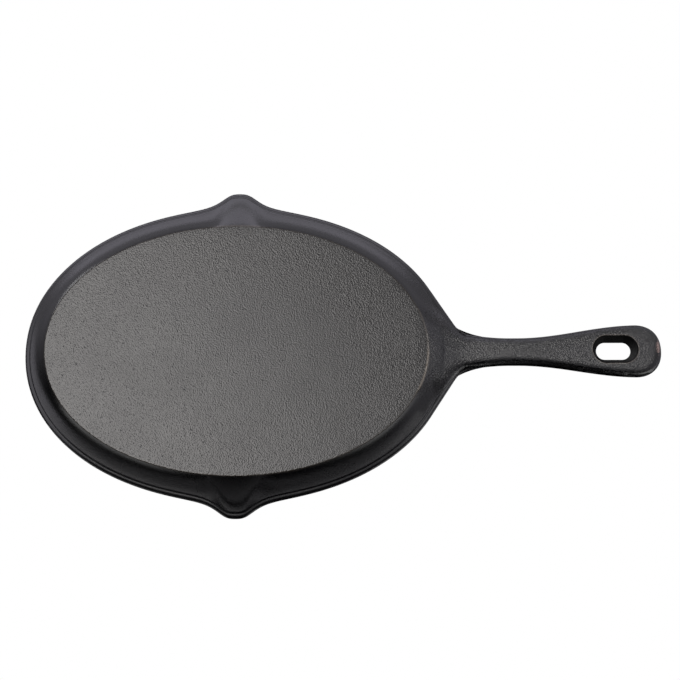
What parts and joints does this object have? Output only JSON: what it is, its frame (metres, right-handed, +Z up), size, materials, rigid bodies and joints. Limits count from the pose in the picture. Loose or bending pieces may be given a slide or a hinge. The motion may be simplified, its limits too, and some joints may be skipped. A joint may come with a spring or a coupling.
{
  "type": "tortilla pan",
  "caption": "Shallow oval cast-iron pan with a flat base, flared wall, rolled rim, opposed pouring lips and a cast-on handle that widens to a grip with a hanging slot.",
  "frame": {"origin": "centre of the flat underside of the base, where the pan stands", "axes": "+Z up out of the cooking side, +X from the base's centre along the handle to its tip, +Y to the right seen from the handle"},
  "size_m": [0.3893, 0.203, 0.015],
  "materials": {
    "seasoned_iron": "satin"
  },
  "bodies": {
    "root": {"base_plate": "seasoned_iron", "wall_far_left": "seasoned_iron", "wall_far_right": "seasoned_iron", "wall_handle_left": "seasoned_iron", "wall_handle_right": "seasoned_iron", "rim_far_left": "seasoned_iron", "rim_far_right": "seasoned_iron", "rim_handle_left": "seasoned_iron", "rim_handle_right": "seasoned_iron", "pour_lip_left": "seasoned_iron", "pour_lip_right": "seasoned_iron", "handle_root": "seasoned_iron", "handle_shank": "seasoned_iron", "handle_grip": "seasoned_iron"}
  },
  "joints": []
}
